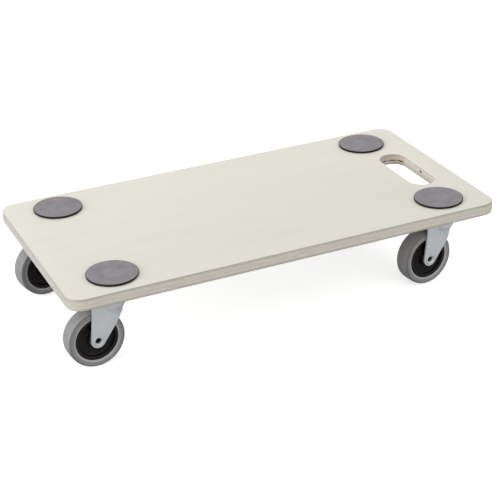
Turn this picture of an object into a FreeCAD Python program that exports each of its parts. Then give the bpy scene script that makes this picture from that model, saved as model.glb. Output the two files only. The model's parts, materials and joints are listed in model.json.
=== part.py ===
import FreeCAD, Part
import math
import os
import re
import Sketcher

# Furniture dolly: a plywood board with a hand hole, four grip pads on top and
# four swivel casters screwed on from below. Millimetres, +Z up, origin on the
# floor under the middle of the board, +X along the board towards the hand hole.

doc = FreeCAD.newDocument("FurnitureDolly")

# ---------------------------------------------------------------- the sizes

board_sizes = {
    "board_length": 590,
    "board_width": 300,
    "board_thick": 16,
    "board_corner": 20,
    "edge_round": 1.5,
    "slot_length": 112,
    "slot_width": 38,
    "slot_from_middle": 245,
    "pad_radius": 32.4,
    "pad_height": 3,
    "pad_round": 0.7,
    "pad_front": 230.5,
    "pad_rear": 226.5,
    "pad_side": 105.5,
}

caster_sizes = {
    "caster_height": 98,
    "caster_along": 232.4,
    "caster_side": 105.5,
    "caster_trail": 24.5,
    "plate_side": 60,
    "plate_thick": 2.5,
    "plate_corner": 6,
    "screw_spacing": 46,
    "screw_radius": 2.2,
    "screw_hole": 2.6,
    "screw_length": 13,
    "screw_point": 4,
    "screw_head": 4.6,
    "screw_head_height": 2.6,
    "screw_head_round": 1.6,
    "drive_width": 1.2,
    "drive_length": 5,
    "drive_depth": 1.5,
    "pilot_depth": 13.5,
    "pilot_radius": 2.25,
}

head_sizes = {
    "cup_radius": 18.7,
    "cup_bottom": 90.4,
    "cup_lip": 88.3,
    "lip_thick": 1.5,
    "recess_radius": 13,
    "recess_floor": 93,
    "upper_ball": 2,
    "upper_pitch": 14.5,
    "upper_middle": 89.2,
    "upper_count": 18,
    "lower_ball": 1.5,
    "lower_pitch": 9,
    "lower_middle": 83.6,
    "lower_count": 16,
    "race_play": 0.3,
    "pin_radius": 4.9,
    "pin_play": 0.05,
    "pin_head": 11.5,
    "pin_head_bottom": 80,
    "pin_head_top": 82.6,
    "pin_upset": 8,
    "pin_upset_height": 2,
}

fork_sizes = {
    "fork_outside": 14.5,
    "fork_sheet": 2,
    "fork_top": 87.5,
    "fork_roof": 2.5,
    "fork_bend": 3.5,
    "fork_end": 9.5,
    "fork_rear_lean": 7,
    "fork_front_lean": 37,
    "fork_skirt": 66,
    "fork_tail": 5,
    "crown_radius": 19.3,
    "crown_edge": 1,
    "flare_bottom": 67,
    "flare_waist": 72.5,
    "flare_waist_radius": 15.7,
    "flare_top": 79,
    "flare_rise": 0.6,
    "fork_pin_hole": 6,
}

wheel_sizes = {
    "wheel_radius": 37.5,
    "tread_half": 8.5,
    "tyre_half": 11.5,
    "tyre_shoulder": 3,
    "tyre_inner": 28.9,
    "tyre_lip": 10.3,
    "rim_radius": 28.2,
    "rim_half": 9.9,
    "ridge_radius": 30.5,
    "ridge_half": 3,
    "dish_outer": 24,
    "dish_inner": 12,
    "dish_half": 4.6,
    "hub_half": 12.2,
    "axle_radius": 5,
    "axle_bore": 3.8,
    "axle_mouth": 5.4,
    "axle_mouth_depth": 1.6,
    "axle_head": 7,
    "axle_head_height": 1.4,
    "sleeve_radius": 6.5,
    "sleeve_play": 0.05,
    "hub_play": 0.05,
    "side_play": 0.05,
}

# how far each caster has swivelled away from trailing straight back, in degrees
swivel_sizes = {
    "turn_rear_right": 4.4,
    "turn_front_right": 7.4,
    "turn_rear_left": 10.9,
    "turn_front_left": 9,
}

sheet = doc.addObject("Spreadsheet::Sheet", "Sizes")
row = 1
for group in (board_sizes, caster_sizes, head_sizes, fork_sizes, wheel_sizes, swivel_sizes):
    for alias, size in group.items():
        sheet.set(f"A{row}", alias)
        sheet.set(f"B{row}", str(size))
        sheet.setAlias(f"B{row}", alias)
        row = row + 1
doc.recompute()


# ------------------------------------------------------------- small helpers

def sized(expression):
    """Put the sheet's name before each alias; every alias has an underscore."""
    return re.sub(r"\b([a-z]+(?:_[a-z]+)+)\b", r"Sizes.\1", expression)


def number(expression):
    """The value that an expression of the sheet's sizes has now."""
    return float(sheet.evalExpression(sized(expression)))


def bind(thing, path, expression):
    thing.setExpression(path, sized(expression))


def origin_feature(body, role):
    return [item for item in body.Origin.OriginFeatures if item.Role == role][0]


def new_body(label):
    body = doc.addObject("PartDesign::Body", label)
    body.Label = label
    return body


def new_sketch(body, name, plane, offset=None):
    """A sketch on one of the body's own origin planes, moved along its normal."""
    sketch = body.newObject("Sketcher::SketchObject", f"{body.Name}_{name}")
    sketch.AttachmentSupport = [(origin_feature(body, plane), "")]
    sketch.MapMode = "FlatFace"
    if offset:
        bind(sketch, "AttachmentOffset.Base.z", offset)
    return sketch


def pin_point(sketch, geometry, point, across, up):
    """Hold a sketch point at two distances from the origin; None leaves one free."""
    for kind, axis, expression in (("DistanceX", -2, across), ("DistanceY", -1, up)):
        if expression is None:
            continue
        distance = number(expression)
        if abs(distance) < 1e-9:
            sketch.addConstraint(Sketcher.Constraint("PointOnObject", geometry, point, axis))
            continue
        index = sketch.addConstraint(Sketcher.Constraint(kind, -1, 1, geometry, point, distance))
        bind(sketch, f"Constraints[{index}]", expression)


def outline(sketch, corners):
    """A closed outline. A corner is (across, up), or (across, up, middle across,
    middle up) where an arc turns left about that middle to the next corner."""
    first = sketch.GeometryCount
    places = [FreeCAD.Vector(number(corner[0]), number(corner[1]), 0) for corner in corners]
    count = len(corners)
    for index, corner in enumerate(corners):
        start = places[index]
        end = places[(index + 1) % count]
        if len(corner) == 2:
            sketch.addGeometry(Part.LineSegment(start, end), False)
            continue
        middle = FreeCAD.Vector(number(corner[2]), number(corner[3]), 0)
        ring = Part.Circle(middle, FreeCAD.Vector(0, 0, 1), (start - middle).Length)
        from_angle = math.atan2(start.y - middle.y, start.x - middle.x)
        to_angle = math.atan2(end.y - middle.y, end.x - middle.x)
        if to_angle < from_angle:
            to_angle = to_angle + 2 * math.pi
        sketch.addGeometry(Part.ArcOfCircle(ring, from_angle, to_angle), False)
    for index, corner in enumerate(corners):
        before = corners[index - 1]
        sketch.addConstraint(Sketcher.Constraint(
            "Coincident", first + (index - 1) % count, 2, first + index, 1))
        if len(before) == 2:
            pin_point(sketch, first + index, 1, corner[0], corner[1])
        else:
            middle = FreeCAD.Vector(number(before[2]), number(before[3]), 0)
            reach = places[index] - middle
            if abs(reach.y) > abs(reach.x):
                pin_point(sketch, first + index, 1, corner[0], None)
            else:
                pin_point(sketch, first + index, 1, None, corner[1])
        if len(corner) > 2:
            pin_point(sketch, first + index, 3, corner[2], corner[3])


def circle(sketch, across, up, radius):
    """A circle held by its middle and its radius."""
    middle = FreeCAD.Vector(number(across), number(up), 0)
    normal = FreeCAD.Vector(0, 0, 1)
    index = sketch.addGeometry(Part.Circle(middle, normal, number(radius)), False)
    pin_point(sketch, index, 3, across, up)
    held = sketch.addConstraint(Sketcher.Constraint("Radius", index, number(radius)))
    bind(sketch, f"Constraints[{held}]", radius)


def rectangle(sketch, left, bottom, right, top):
    outline(sketch, [(left, bottom), (right, bottom), (right, top), (left, top)])


def pad(body, name, sketch, length, both_ways=False):
    feature = body.newObject("PartDesign::Pad", f"{body.Name}_{name}")
    feature.Profile = sketch
    if both_ways:
        feature.SideType = "Symmetric"
    bind(feature, "Length", length)
    doc.recompute()
    return feature


def cut_and_measure(body, feature):
    """Turn a cut round if it took nothing away, then check that it cuts."""
    before = feature.BaseFeature.Shape.Volume
    doc.recompute()
    if feature.Shape.isNull() or feature.Shape.Volume > before - 1e-3:
        feature.Reversed = True
        doc.recompute()
    if feature.Shape.isNull() or feature.Shape.Volume > before - 1e-3:
        raise RuntimeError(f"{feature.Name} cuts nothing")
    return feature


def pocket(body, name, sketch, length=None, both_ways=False):
    """Cut a sketch to a depth, or right through the body."""
    feature = body.newObject("PartDesign::Pocket", f"{body.Name}_{name}")
    feature.Profile = sketch
    if both_ways:
        feature.SideType = "Symmetric"
    if length:
        bind(feature, "Length", length)
    else:
        feature.Type = "ThroughAll"
    return cut_and_measure(body, feature)


def revolve(body, name, sketch, axis):
    feature = body.newObject("PartDesign::Revolution", f"{body.Name}_{name}")
    feature.Profile = sketch
    feature.ReferenceAxis = (origin_feature(body, axis), [""])
    feature.Angle = 360
    doc.recompute()
    return feature


def groove(body, name, sketch, axis):
    feature = body.newObject("PartDesign::Groove", f"{body.Name}_{name}")
    feature.Profile = sketch
    feature.ReferenceAxis = (origin_feature(body, axis), [""])
    feature.Angle = 360
    return cut_and_measure(body, feature)


def edges_where(shape, test):
    """Names of the edges whose bounding box passes a test."""
    found = []
    for index, edge in enumerate(shape.Edges, 1):
        if test(edge.BoundBox, edge):
            found.append(f"Edge{index}")
    return found


def fillet(body, name, base, test, radius):
    feature = body.newObject("PartDesign::Fillet", f"{body.Name}_{name}")
    feature.Base = (base, edges_where(base.Shape, test))
    bind(feature, "Radius", radius)
    doc.recompute()
    return feature


def repeat_round(body, name, features, count):
    """Repeat features evenly about the body's upright axis."""
    feature = body.newObject("PartDesign::PolarPattern", f"{body.Name}_{name}")
    feature.Originals = features
    feature.Axis = (origin_feature(body, "Z_Axis"), [""])
    feature.Angle = 360
    if isinstance(count, str):
        bind(feature, "Occurrences", count)
    else:
        feature.Occurrences = count
    body.Tip = feature
    doc.recompute()
    return feature


def upright(box, edge):
    """True for an edge that runs straight up."""
    return box.ZLength > 1 and box.XLength < 1e-4 and box.YLength < 1e-4


# ------------------------------------------------------------------ the board

def deck_board():
    body = new_body("deck_board")
    plan = new_sketch(body, "plan", "XY_Plane", "caster_height")
    rectangle(plan, "-board_length / 2", "-board_width / 2", "board_length / 2", "board_width / 2")
    slab = pad(body, "slab", plan, "board_thick")
    fillet(body, "corners", slab, upright, "board_corner")

    hole = new_sketch(body, "hand_hole_plan", "XY_Plane", "caster_height")
    left = "slot_from_middle - slot_width / 2"
    right = "slot_from_middle + slot_width / 2"
    end = "slot_length / 2 - slot_width / 2"
    outline(hole, [
        (right, f"-( {end} )"),
        (right, end, "slot_from_middle", end),
        (left, end),
        (left, f"-( {end} )", "slot_from_middle", f"-( {end} )"),
    ])
    slot = pocket(body, "hand_hole", hole)

    bottom = number("caster_height")
    top = bottom + number("board_thick")

    def on_a_face(box, edge):
        flat = box.ZLength < 1e-4
        return flat and (abs(box.ZMin - bottom) < 1e-4 or abs(box.ZMin - top) < 1e-4)

    fillet(body, "edges", slot, on_a_face, "edge_round")

    pilots = new_sketch(body, "pilot_plan", "XY_Plane", "caster_height")
    for along in ("caster_along", "-caster_along"):
        for side in ("caster_side", "-caster_side"):
            for step in ("+", "-"):
                for rise in ("+", "-"):
                    circle(pilots, f"{along} {step} screw_spacing / 2",
                           f"{side} {rise} screw_spacing / 2", "pilot_radius")
    pocket(body, "pilot_holes", pilots, "pilot_depth")


def grip_pad(label, along, side):
    body = new_body(label)
    plan = new_sketch(body, "plan", "XY_Plane")
    circle(plan, "0", "0", "pad_radius")
    disc = pad(body, "disc", plan, "pad_height")
    top = number("pad_height")
    fillet(body, "rim", disc, lambda box, edge: abs(box.ZMin - top) < 1e-4, "pad_round")
    bind(body, "Placement.Base.x", along)
    bind(body, "Placement.Base.y", side)
    bind(body, "Placement.Base.z", "caster_height + board_thick")


# ---------------------------------------------------------- the caster pieces
# Each is drawn about its own swivel axis, with the floor at zero and the wheel
# trailing towards -X, then moved to its corner and turned.

def place(body, corner, turns, at_wheel=False):
    """Move a caster piece to its corner, turned with the fork where it turns."""
    along, side, turn = corner
    if not turns:
        bind(body, "Placement.Base.x", along)
        bind(body, "Placement.Base.y", side)
        return
    upwards = FreeCAD.Vector(0, 0, 1)
    body.Placement = FreeCAD.Placement(FreeCAD.Vector(), FreeCAD.Rotation(upwards, number(turn)))
    bind(body, "Placement.Rotation.Angle", turn)
    if at_wheel:
        bind(body, "Placement.Base.x", f"{along} - caster_trail * cos({turn})")
        bind(body, "Placement.Base.y", f"{side} - caster_trail * sin({turn})")
        bind(body, "Placement.Base.z", "wheel_radius")
    else:
        bind(body, "Placement.Base.x", along)
        bind(body, "Placement.Base.y", side)


def mounting_plate(label, corner):
    body = new_body(label)
    plan = new_sketch(body, "plan", "XY_Plane", "caster_height - plate_thick")
    half = "plate_side / 2"
    rectangle(plan, f"-{half}", f"-{half}", half, half)
    sheet_metal = pad(body, "sheet", plan, "plate_thick")
    fillet(body, "corners", sheet_metal, upright, "plate_corner")

    cup = new_sketch(body, "cup_section", "XZ_Plane")
    outline(cup, [
        ("0", "cup_bottom"),
        ("cup_radius - lip_thick", "cup_bottom"),
        ("cup_radius - lip_thick", "cup_lip"),
        ("cup_radius", "cup_lip"),
        ("cup_radius", "caster_height - plate_thick"),
        ("0", "caster_height - plate_thick"),
    ])
    revolve(body, "cup", cup, "Z_Axis")

    recess = new_sketch(body, "recess_plan", "XY_Plane", "caster_height")
    circle(recess, "0", "0", "recess_radius")
    pocket(body, "recess", recess, "caster_height - recess_floor")

    track = new_sketch(body, "track_section", "XZ_Plane")
    circle(track, "upper_pitch", "upper_middle", "upper_ball + pin_play")
    groove(body, "ball_track", track, "Z_Axis")

    holes = new_sketch(body, "hole_plan", "XY_Plane", "caster_height")
    circle(holes, "0", "0", "pin_radius + pin_play")
    spot = "screw_spacing / 2"
    for across in (spot, f"-{spot}"):
        for up in (spot, f"-{spot}"):
            circle(holes, across, up, "screw_hole")
    pocket(body, "holes", holes)
    place(body, corner, False)


def plate_screws(label, corner):
    body = new_body(label)
    spot = "screw_spacing / 2"
    seat = "caster_height - plate_thick"
    section = new_sketch(body, "section", "XZ_Plane", f"-{spot}")
    tip = "caster_height + screw_length"
    outline(section, [
        (spot, f"{seat} - screw_head_height"),
        (f"{spot} + screw_head - screw_head_round", f"{seat} - screw_head_height"),
        (f"{spot} + screw_head", f"{seat} - screw_head_height + screw_head_round"),
        (f"{spot} + screw_head", seat),
        (f"{spot} + screw_radius", seat),
        (f"{spot} + screw_radius", f"{tip} - screw_point"),
        (spot, tip),
    ])
    screw = body.newObject("PartDesign::Revolution", f"{body.Name}_screw")
    screw.Profile = section
    screw.ReferenceAxis = (section, ["Edge7"])
    screw.Angle = 360
    doc.recompute()

    drive = new_sketch(body, "drive_plan", "XY_Plane", f"{seat} - screw_head_height")
    arm = "drive_length / 2"
    slim = "drive_width / 2"
    outline(drive, [
        (f"{spot} + {arm}", f"{spot} - {slim}"),
        (f"{spot} + {arm}", f"{spot} + {slim}"),
        (f"{spot} + {slim}", f"{spot} + {slim}"),
        (f"{spot} + {slim}", f"{spot} + {arm}"),
        (f"{spot} - {slim}", f"{spot} + {arm}"),
        (f"{spot} - {slim}", f"{spot} + {slim}"),
        (f"{spot} - {arm}", f"{spot} + {slim}"),
        (f"{spot} - {arm}", f"{spot} - {slim}"),
        (f"{spot} - {slim}", f"{spot} - {slim}"),
        (f"{spot} - {slim}", f"{spot} - {arm}"),
        (f"{spot} + {slim}", f"{spot} - {arm}"),
        (f"{spot} + {slim}", f"{spot} - {slim}"),
    ])
    cross = pocket(body, "drive", drive, "drive_depth")
    repeat_round(body, "four", [screw, cross], 4)
    place(body, corner, False)


def king_pin(label, corner):
    body = new_body(label)
    section = new_sketch(body, "section", "XZ_Plane")
    outline(section, [
        ("0", "pin_head_bottom"),
        ("pin_head - 1", "pin_head_bottom"),
        ("pin_head", "pin_head_bottom + 1"),
        ("pin_head", "pin_head_top"),
        ("pin_radius", "pin_head_top"),
        ("pin_radius", "recess_floor"),
        ("pin_upset", "recess_floor"),
        ("pin_upset - 1", "recess_floor + pin_upset_height"),
        ("0", "recess_floor + pin_upset_height"),
    ])
    revolve(body, "pin", section, "Z_Axis")
    track = new_sketch(body, "track_section", "XZ_Plane")
    circle(track, "lower_pitch", "lower_middle", "lower_ball + pin_play")
    groove(body, "ball_track", track, "Z_Axis")
    place(body, corner, False)


def ball_ring(label, corner, ring):
    body = new_body(label)
    ball = body.newObject("PartDesign::AdditiveSphere", f"{body.Name}_ball")
    ball.AttachmentSupport = [(origin_feature(body, "XY_Plane"), "")]
    ball.MapMode = "FlatFace"
    bind(ball, "Radius", f"{ring}_ball")
    bind(ball, "AttachmentOffset.Base.x", f"{ring}_pitch")
    bind(ball, "AttachmentOffset.Base.z", f"{ring}_middle")
    doc.recompute()
    repeat_round(body, "ring", [ball], f"{ring}_count")
    place(body, corner, False)


def fork(label, corner):
    body = new_body(label)
    rear = "-caster_trail - fork_end - 1"
    wide = "fork_outside"
    plan = new_sketch(body, "plan", "XY_Plane", "wheel_radius - fork_end")
    outline(plan, [
        (rear, f"-{wide}"),
        ("0", f"-{wide}", "0", "0"),
        ("0", wide),
        (rear, wide),
    ])
    block = pad(body, "block", plan, "fork_top - wheel_radius + fork_end")
    top = number("fork_top")
    back = number(rear)

    def bend_line(box, edge):
        return abs(box.ZMin - top) < 1e-4 and box.XMax - back > 1

    fillet(body, "bend", block, bend_line, "fork_bend")

    narrow = "fork_outside - fork_sheet"
    inner = new_sketch(body, "inner_plan", "XY_Plane", "fork_top - fork_roof")
    outline(inner, [
        (f"{rear} - 1", f"-( {narrow} )"),
        ("0", f"-( {narrow} )", "0", "0"),
        ("0", narrow),
        (f"{rear} - 1", narrow),
    ])
    pocket(body, "channel", inner, "fork_top")

    crown = new_sketch(body, "crown_section", "XZ_Plane")
    roof = "fork_top - fork_roof"
    crown_inside = "crown_radius - fork_sheet"
    waist_inside = "flare_waist_radius - fork_sheet"
    outline(crown, [
        (narrow, "flare_bottom"),
        ("fork_outside", "flare_bottom"),
        ("flare_waist_radius", "flare_waist"),
        ("crown_radius", "flare_top"),
        ("crown_radius", "fork_top - crown_edge"),
        ("crown_radius - crown_edge", "fork_top"),
        ("fork_pin_hole", "fork_top"),
        ("fork_pin_hole", roof),
        (crown_inside, roof),
        (crown_inside, "flare_top + flare_rise"),
        (waist_inside, "flare_waist + flare_rise"),
        (narrow, "flare_bottom + flare_rise"),
    ])
    revolve(body, "crown", crown, "Z_Axis")
    hollow = new_sketch(body, "crown_hollow_section", "XZ_Plane")
    outline(hollow, [
        ("0", "flare_bottom + flare_rise"),
        (narrow, "flare_bottom + flare_rise"),
        (waist_inside, "flare_waist + flare_rise"),
        (crown_inside, "flare_top + flare_rise"),
        (crown_inside, roof),
        ("0", roof),
    ])
    groove(body, "crown_hollow", hollow, "Z_Axis")

    behind = new_sketch(body, "behind_plan", "XY_Plane", roof)
    rectangle(behind, f"{rear} - 1", f"-( {narrow} )", "0", narrow)
    pocket(body, "behind_crown", behind, "fork_top")

    side_view = new_sketch(body, "side_view", "XZ_Plane")
    axle = "-caster_trail"
    middle = "wheel_radius"
    rear_across = f"{axle} - fork_end * cos(fork_rear_lean)"
    rear_up = f"{middle} + fork_end * sin(fork_rear_lean)"
    front_across = f"{axle} + fork_end * cos(fork_front_lean)"
    front_up = f"{middle} - fork_end * sin(fork_front_lean)"
    clear = "crown_radius + 5"
    over = "fork_top + 5"
    rectangle(side_view, f"{rear} - 5", "-5", clear, over)
    outline(side_view, [
        (rear_across, rear_up, axle, middle),
        (front_across, front_up),
        (f"{front_across} + ( fork_skirt - ( {front_up} ) ) * tan(fork_front_lean)", "fork_skirt"),
        ("crown_radius + 2", "fork_skirt"),
        ("crown_radius + 2", "fork_top + 2"),
        (f"{axle} - fork_tail", "fork_top + 2"),
        (f"{axle} - fork_tail", "fork_top - 10"),
    ])
    pocket(body, "side_cut", side_view, both_ways=True)

    holes = new_sketch(body, "pin_hole_plan", "XY_Plane", "fork_top")
    circle(holes, "0", "0", "fork_pin_hole")
    pocket(body, "pin_hole", holes, "fork_roof * 2")

    axle_hole = new_sketch(body, "axle_hole_view", "XZ_Plane")
    circle(axle_hole, axle, middle, "axle_radius")
    pocket(body, "axle_hole", axle_hole, both_ways=True)

    for ring in ("upper", "lower"):
        track = new_sketch(body, f"{ring}_track_section", "XZ_Plane")
        circle(track, f"{ring}_pitch", f"{ring}_middle", f"{ring}_ball + race_play")
        groove(body, f"{ring}_ball_track", track, "Z_Axis")
    place(body, corner, True)


def axle_rivet(label, corner):
    body = new_body(label)
    section = new_sketch(body, "section", "YZ_Plane")
    inside = "fork_outside"
    outside = "fork_outside + axle_head_height"
    outline(section, [
        (f"-( {outside} - axle_mouth_depth )", "axle_bore"),
        (f"{outside} - axle_mouth_depth", "axle_bore"),
        (outside, "axle_mouth"),
        (outside, "axle_head - axle_head_height / 2"),
        (f"{outside} - axle_head_height / 2", "axle_head"),
        (inside, "axle_head"),
        (inside, "axle_radius"),
        (f"-{inside}", "axle_radius"),
        (f"-{inside}", "axle_head"),
        (f"-( {outside} - axle_head_height / 2 )", "axle_head"),
        (f"-( {outside} )", "axle_head - axle_head_height / 2"),
        (f"-( {outside} )", "axle_mouth"),
    ])
    revolve(body, "rivet", section, "Y_Axis")
    place(body, corner, True, at_wheel=True)


def axle_sleeve(label, corner):
    body = new_body(label)
    section = new_sketch(body, "section", "YZ_Plane")
    half = "( fork_outside - fork_sheet - side_play )"
    rectangle(section, f"-{half}", "axle_radius + sleeve_play", half, "sleeve_radius")
    revolve(body, "sleeve", section, "Y_Axis")
    place(body, corner, True, at_wheel=True)


def wheel_rim(label, corner):
    body = new_body(label)
    section = new_sketch(body, "section", "YZ_Plane")
    half_outline = [
        ("hub_half", "sleeve_radius + hub_play"),
        ("hub_half", "dish_inner - 1"),
        ("hub_half - 1", "dish_inner"),
        ("dish_half", "dish_inner + 1"),
        ("dish_half", "dish_outer - 1"),
        ("rim_half - 1", "dish_outer"),
        ("rim_half", "dish_outer + 0.5"),
        ("rim_half", "rim_radius"),
        ("ridge_half", "rim_radius"),
        ("ridge_half", "ridge_radius"),
    ]
    other_half = [(f"-( {across} )", up) for across, up in reversed(half_outline)]
    outline(section, half_outline + other_half)
    revolve(body, "rim", section, "Y_Axis")
    place(body, corner, True, at_wheel=True)


def wheel_tyre(label, corner):
    body = new_body(label)
    section = new_sketch(body, "section", "YZ_Plane")
    side = "tyre_half"
    shoulder = "wheel_radius - tyre_shoulder"
    outline(section, [
        ("tread_half", "wheel_radius"),
        ("-tread_half", "wheel_radius", "-tread_half", shoulder),
        (f"-{side}", shoulder),
        ("-tyre_lip", "tyre_inner"),
        ("-rim_half", "rim_radius"),
        ("-ridge_half", "rim_radius"),
        ("-ridge_half", "ridge_radius"),
        ("ridge_half", "ridge_radius"),
        ("ridge_half", "rim_radius"),
        ("rim_half", "rim_radius"),
        ("tyre_lip", "tyre_inner"),
        (side, shoulder, "tread_half", shoulder),
    ])
    revolve(body, "tyre", section, "Y_Axis")
    place(body, corner, True, at_wheel=True)


# ------------------------------------------------------------------ the dolly

deck_board()
grip_pad("grip_pad_front_left", "pad_front", "pad_side")
grip_pad("grip_pad_front_right", "pad_front", "-pad_side")
grip_pad("grip_pad_rear_left", "-pad_rear", "pad_side")
grip_pad("grip_pad_rear_right", "-pad_rear", "-pad_side")

corners = {
    "front_left": ("caster_along", "caster_side", "turn_front_left"),
    "front_right": ("caster_along", "-caster_side", "turn_front_right"),
    "rear_left": ("-caster_along", "caster_side", "turn_rear_left"),
    "rear_right": ("-caster_along", "-caster_side", "turn_rear_right"),
}
for name, corner in corners.items():
    mounting_plate(f"plate_{name}", corner)
    plate_screws(f"plate_screws_{name}", corner)
    king_pin(f"king_pin_{name}", corner)
    ball_ring(f"upper_balls_{name}", corner, "upper")
    ball_ring(f"lower_balls_{name}", corner, "lower")
    fork(f"fork_{name}", corner)
    axle_rivet(f"axle_rivet_{name}", corner)
    axle_sleeve(f"axle_sleeve_{name}", corner)
    wheel_rim(f"wheel_rim_{name}", corner)
    wheel_tyre(f"tyre_{name}", corner)
doc.recompute()

# ------------------------------------------------------- check and write out

for item in doc.Objects:
    if "Invalid" in item.State or "Error" in item.State:
        raise RuntimeError(f"{item.Name} failed: {item.State}")

os.makedirs("parts", exist_ok=True)
for body in doc.findObjects("PartDesign::Body"):
    shape = body.Shape
    if shape.isNull() or not shape.isValid():
        raise RuntimeError(f"{body.Label} has no valid shape")
    shape.exportStep(f"parts/{body.Label}.step")
    print(body.Label, len(shape.Solids), "solids", round(shape.Volume), "mm3")
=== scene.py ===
import json
import math

import bmesh
import bpy
from mathutils import Matrix, Vector


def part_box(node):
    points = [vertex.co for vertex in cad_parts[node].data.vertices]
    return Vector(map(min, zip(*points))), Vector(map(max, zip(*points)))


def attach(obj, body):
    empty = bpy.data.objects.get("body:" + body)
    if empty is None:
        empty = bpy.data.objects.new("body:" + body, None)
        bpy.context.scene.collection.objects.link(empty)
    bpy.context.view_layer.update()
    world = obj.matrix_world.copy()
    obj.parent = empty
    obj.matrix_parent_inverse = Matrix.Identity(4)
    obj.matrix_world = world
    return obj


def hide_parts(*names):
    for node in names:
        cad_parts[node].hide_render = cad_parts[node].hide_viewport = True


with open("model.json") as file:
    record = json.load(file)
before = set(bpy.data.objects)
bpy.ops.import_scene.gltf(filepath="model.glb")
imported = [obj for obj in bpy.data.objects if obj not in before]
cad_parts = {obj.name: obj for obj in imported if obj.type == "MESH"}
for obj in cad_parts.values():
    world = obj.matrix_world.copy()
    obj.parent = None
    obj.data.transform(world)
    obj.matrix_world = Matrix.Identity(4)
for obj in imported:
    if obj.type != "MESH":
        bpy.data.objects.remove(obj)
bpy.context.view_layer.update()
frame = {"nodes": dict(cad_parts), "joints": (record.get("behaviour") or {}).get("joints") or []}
print("frame loaded with", len(frame["nodes"]), "CAD nodes")

casterCorners = ("front_left", "front_right", "rear_left", "rear_right")
millimetre = 0.001


# camera, light and floor

cameraSetup = {
    "azimuth": -24.03,  # degrees round the dolly, 0 looks along +Y
    "elevation": 26.8,
    "roll": -1.78,
    "distance": 2.0231,  # metres from the point it looks at
    "lookAt": (0.0395, 0.0818, 0.0),
    "lens": 102.94,  # for a 36 mm sensor
}


def placeCamera(setup):
    azimuth = math.radians(setup["azimuth"])
    elevation = math.radians(setup["elevation"])
    roll = math.radians(setup["roll"])
    back = Vector((math.sin(azimuth) * math.cos(elevation),
                   -math.cos(azimuth) * math.cos(elevation),
                   math.sin(elevation)))
    right = Vector((math.cos(azimuth), math.sin(azimuth), 0))
    up = back.cross(right)
    rolledRight = math.cos(roll) * right + math.sin(roll) * up
    rolledUp = -math.sin(roll) * right + math.cos(roll) * up
    data = bpy.data.cameras.new("dollyCamera")
    data.lens = setup["lens"]
    data.sensor_width = 36
    data.clip_end = 100
    camera = bpy.data.objects.new("dollyCamera", data)
    bpy.context.scene.collection.objects.link(camera)
    turn = Matrix((rolledRight, rolledUp, back)).transposed().to_4x4()
    turn.translation = Vector(setup["lookAt"]) + setup["distance"] * back
    camera.matrix_world = turn
    bpy.context.scene.camera = camera


lightSetup = {
    # name: (place, aims at, width, height, watts, colour)
    "overheadSoftbox": ((-0.2, 1.0, 2.0), (0, 0, 0), 2.2, 1.6, 9, (1.0, 0.995, 0.985)),
    "leftSoftbox": ((-4.6, -0.2, 1.8), (0, 0, 0.05), 2.4, 2.2, 92, (0.97, 0.985, 1.0)),
    "frontFill": ((1.0, -3.4, 1.0), (0, 0, 0.05), 2.6, 1.4, 24, (1.0, 0.985, 0.975)),
}


def placeLights(setup):
    for name, (place, aim, width, height, watts, colour) in setup.items():
        data = bpy.data.lights.new(name, "AREA")
        data.shape = "RECTANGLE"
        data.size = width
        data.size_y = height
        data.energy = watts
        data.color = colour
        light = bpy.data.objects.new(name, data)
        bpy.context.scene.collection.objects.link(light)
        light.location = place
        direction = Vector(aim) - Vector(place)
        light.rotation_euler = direction.to_track_quat("-Z", "Y").to_euler()


skySetup = {"glow": 0.80, "seen": 1.0, "colour": (1.0, 1.0, 1.0, 1)}


def lightSky(setup):
    world = bpy.data.worlds.new("studioSky")
    world.use_nodes = True
    nodes = world.node_tree.nodes
    links = world.node_tree.links
    nodes.clear()
    path = nodes.new("ShaderNodeLightPath")
    path.label = "white where it is seen"
    path.location = (-500, 200)
    glow = nodes.new("ShaderNodeBackground")
    glow.label = "soft room light"
    glow.location = (-250, 0)
    glow.inputs["Color"].default_value = setup["colour"]
    glow.inputs["Strength"].default_value = setup["glow"]
    seen = nodes.new("ShaderNodeBackground")
    seen.label = "white paper"
    seen.location = (-250, -150)
    seen.inputs["Color"].default_value = setup["colour"]
    seen.inputs["Strength"].default_value = setup["seen"]
    mix = nodes.new("ShaderNodeMixShader")
    mix.label = "room light or white paper"
    mix.location = (0, 100)
    output = nodes.new("ShaderNodeOutputWorld")
    output.label = "studio sky"
    output.location = (200, 100)
    links.new(path.outputs["Is Camera Ray"], mix.inputs["Fac"])
    links.new(glow.outputs["Background"], mix.inputs[1])
    links.new(seen.outputs["Background"], mix.inputs[2])
    links.new(mix.outputs["Shader"], output.inputs["Surface"])
    bpy.context.scene.world = world


floorSetup = {
    "half": 12.0,  # metres from its middle to its edge
    "paper": (0.93, 0.93, 0.925, 1),
    "lift": 0.60,  # keeps shadows faint where the floor is seen
    "bounce": (0.50, 0.50, 0.497, 1),  # what the floor gives back to the dolly
}


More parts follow.
